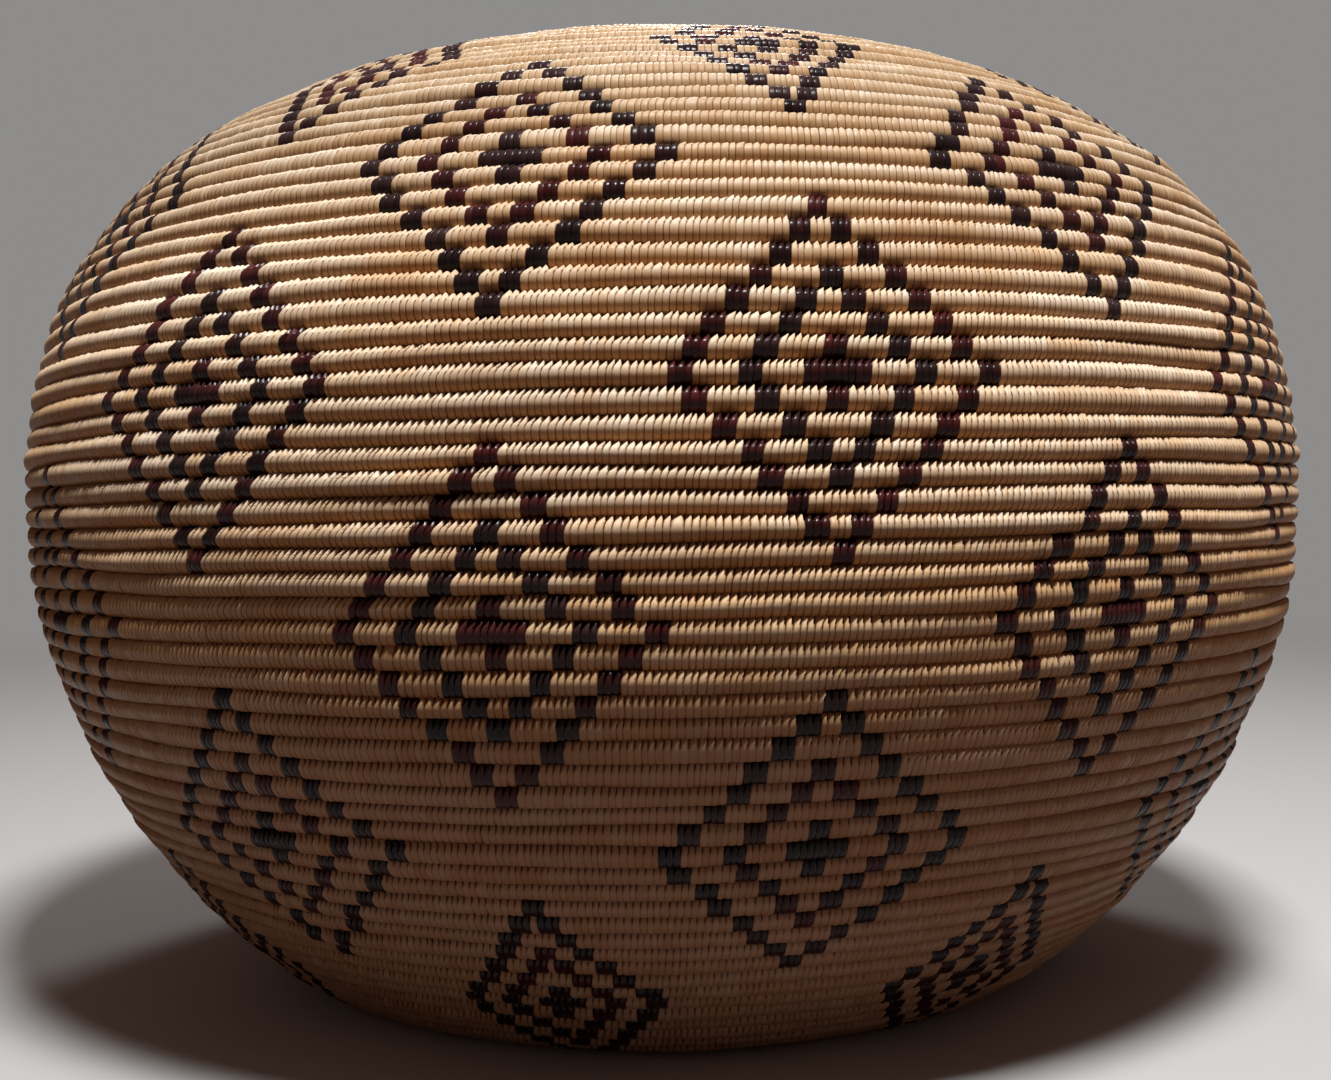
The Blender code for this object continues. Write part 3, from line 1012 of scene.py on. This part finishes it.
@dataclass
class Basket:
    """The whole basket: its lengths of coil from the start knot to the rim."""

    knot_turns: int = 1
    inner_base_radius: float = 0.045
    belly_band_height: float = 0.090
    lower_wall_lengths: int = 4
    belly_lengths: int = 3
    shoulder_lengths: int = 4
    taper_turns: float = 0.30
    tail_past_start: float = 0.15

    def lengths(self, coil: Coil) -> list[tuple[str, float, float]]:
        """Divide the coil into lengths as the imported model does.

        Args:
            coil: the coil.

        Returns:
            Name, first turn and last turn of each length.
        """
        outline = coil.outline
        base_end = int(outline.flat_length / coil.pitch) - 1
        inner_end = round(self.inner_base_radius / coil.pitch)
        heel_end = round((outline.flat_length + outline.heel_radius * math.pi / 4) / coil.pitch)
        band = outline.belly_height + np.array([-0.5, 0.5]) * self.belly_band_height
        low, high = np.interp(band, outline.height, outline.length)
        low_end, belly_end = round(low / coil.pitch), round(high / coil.pitch)
        rim_start = coil.courses - 1
        found = [
            ("start_knot", 0, self.knot_turns),
            ("inner_base_coil", self.knot_turns, inner_end),
            ("outer_base_coil", inner_end, base_end),
            ("heel_coil", base_end, heel_end),
        ]
        for name, first, last, parts in (
            ("lower_wall_coil", heel_end, low_end, self.lower_wall_lengths),
            ("belly_coil", low_end, belly_end, self.belly_lengths),
            ("shoulder_coil", belly_end, rim_start, self.shoulder_lengths),
        ):
            ends = [round(first + (last - first) * part / parts) for part in range(parts + 1)]
            for number in range(1, parts + 1):
                found.append((f"{name}_{number}", ends[number - 1], ends[number]))
        return [*found, ("rim_coil", rim_start, rim_start + 1 + self.tail_past_start)]

    def build(self) -> None:
        """Sew every length and hang the pieces on the basket's one body."""
        coil = Coil(Outline(), Handwork())
        sewing = Sewing(coil, DiamondDesign())
        materials = {kind: finish.build() for kind, finish in FINISHES.items()}
        for name, first, last in self.lengths(coil):
            worked = (RIM_SECTION, self.taper_turns) if name == "rim_coil" else (WALL_SECTION,)
            faces = sewing.sew(name, first, last, *worked)
            Piece(f"{name}_stitches", faces, Splint.WILLOW).build(materials[Splint.WILLOW], (name,))
        for kind, parts in sewing.pieces.items():
            name = f"{kind.name.lower()}_design_stitches"
            Piece(name, Faces.joined(parts), kind).build(materials[kind])


@dataclass
class Studio:
    """A plain pale floor that fades into an even backdrop, and soft lamps above the basket."""

    floor_colour: Colour = (0.50, 0.50, 0.495)
    floor_bounce: Colour = (0.075, 0.047, 0.034)
    backdrop: Colour = (0.27, 0.265, 0.26)
    fill: Colour = (1.0, 0.52, 0.38)
    fill_strength: float = 0.092
    floor_radius: float = 14.0
    fade_start: float = 0.6
    fade_end: float = 1.9
    lamp_aim: float = 0.17
    lamp_share: float = 0.2  # a lamp's side over its distance

    def build(self) -> None:
        """Make the floor, the lamps and the world."""
        self.build_floor()
        self.build_lamp("front", 13.0, 63.5, 1.15, 21.4)
        self.build_lamp("back", 180.0, 45.0, 2.2, 11.5)
        world = bpy.data.worlds.new("studio")
        bpy.context.scene.world = world
        tree = NodeTree(world)
        dim = tuple(part * self.fill_strength for part in self.fill)
        colour = tree.mix(self.seen(tree), dim, self.backdrop)
        background = tree.add("Background", None, {"Color": colour, "Strength": 1.0})
        tree.add("OutputWorld", None, {"Surface": background})

    @staticmethod
    def seen(tree: NodeTree) -> Wire:
        """1 for rays from the eye, straight or mirrored or through glass, and 0 for others."""
        rays = [
            tree.add("LightPath", output=f"Is {kind} Ray")
            for kind in ("Camera", "Glossy", "Transmission")
        ]
        return rays[0].at_least(rays[1]).at_least(rays[2])

    def build_floor(self) -> None:
        """A level disc: r goes evenly outwards and a angle round, x = r cos a and y = r sin a."""
        radius = np.linspace(0.0, 1.0, 20)[1:, None] ** 2 * self.floor_radius
        angle = np.linspace(0.0, TURN, 65)[:-1]
        grid = np.stack([radius * np.cos(angle), radius * np.sin(angle), 0.0 * radius * angle], -1)
        points = np.concatenate([np.zeros((1, 3)), grid.reshape(-1, 3)])
        ring = np.arange(len(angle))
        after = (ring + 1) % len(angle)
        inner = 1 + np.arange(len(radius) - 1)[:, None] * len(angle)
        outer = inner + len(angle)
        quads = np.stack([inner + ring, outer + ring, outer + after, inner + after], axis=-1)
        middle = np.stack([0 * ring, 1 + ring, 1 + after], axis=-1)
        mesh = bpy.data.meshes.new("floor")
        mesh.from_pydata(points.tolist(), [], middle.tolist() + quads.reshape(-1, 4).tolist())
        mesh.shade_smooth()
        mesh.materials.append(self.floor_material())
        floor = placed("floor", mesh)

    def floor_material(self) -> bpy.types.Material:
        """Pale matt paper that fades to the backdrop, and is duller to light that goes on."""
        material = bpy.data.materials.new("floor_paper")
        tree = NodeTree(material)
        seen = self.seen(tree)
        colour = tree.mix(seen, self.floor_bounce, self.floor_colour)
        paper = tree.add("BsdfPrincipled", None, {"Base Color": colour, "Roughness": 0.9})
        glow = tree.add("Emission", None, {"Color": rgba(self.backdrop), "Strength": 1.0})
        place = tree.add("TexCoord", output="Object")
        away = tree.add("VectorMath", {"operation": "LENGTH"}, [place], "Value")
        far = seen * away.ramp(self.fade_start, self.fade_end)
        surface = tree.add("MixShader", None, [far, paper, glow])
        tree.add("OutputMaterial", None, {"Surface": surface})
        return material

    def build_lamp(
        self, name: str, azimuth: float, elevation: float, distance: float, power: float
    ) -> None:
        """A square soft lamp that faces the middle of the basket.

        Args:
            name: of the lamp.
            azimuth: degrees from the front, round to the right.
            elevation: degrees above the level.
            distance: metres from the point that it faces.
            power: in watts.
        """
        data = bpy.data.lights.new(f"{name}_softbox", "AREA")
        data.shape = "SQUARE"
        data.size = self.lamp_share * distance
        data.energy = power
        turn, rise = math.radians(azimuth), math.radians(elevation)
        level = distance * math.cos(rise)
        away = Vector((level * math.sin(turn), -level * math.cos(turn), distance * math.sin(rise)))
        place = Matrix.Translation(away + Vector((0.0, 0.0, self.lamp_aim)))
        turned = away.to_track_quat("Z", "Y").to_matrix().to_4x4()
        placed(data.name, data).matrix_world = place @ turned


@dataclass
class Viewpoint:
    """The photograph's own view: close to the basket, level with its belly."""

    place: tuple[float, float, float] = (0.0, -0.5703, 0.1487)
    focal_pixels: float = 1653.7
    yaw: float = -0.081  # degrees
    pitch: float = -0.948
    roll: float = -0.8155

    def build(self) -> None:
        """Make the camera and look through it."""
        yaw, pitch, roll = (math.radians(angle) for angle in (self.yaw, self.pitch, self.roll))
        data = bpy.data.cameras.new("photograph")
        data.sensor_fit = "HORIZONTAL"
        data.sensor_width = 36.0
        data.lens = self.focal_pixels * data.sensor_width / PICTURE_WIDTH
        data.clip_start = 0.01
        camera = placed("photograph", data)
        camera.matrix_world = (
            Matrix.Translation(self.place)
            @ Matrix.Rotation(yaw, 4, "Z")
            @ Matrix.Rotation(TURN / 4 + pitch, 4, "X")
            @ Matrix.Rotation(roll, 4, "Z")
        )
        bpy.context.scene.camera = camera


def main() -> None:
    """Set the camera and the studio up and sew the basket."""
    bpy.context.scene.view_settings.view_transform = "Standard"
    Viewpoint().build()
    Studio().build()
    Basket().build()
    bpy.context.view_layer.update()


if __name__ == "__main__":
    main()
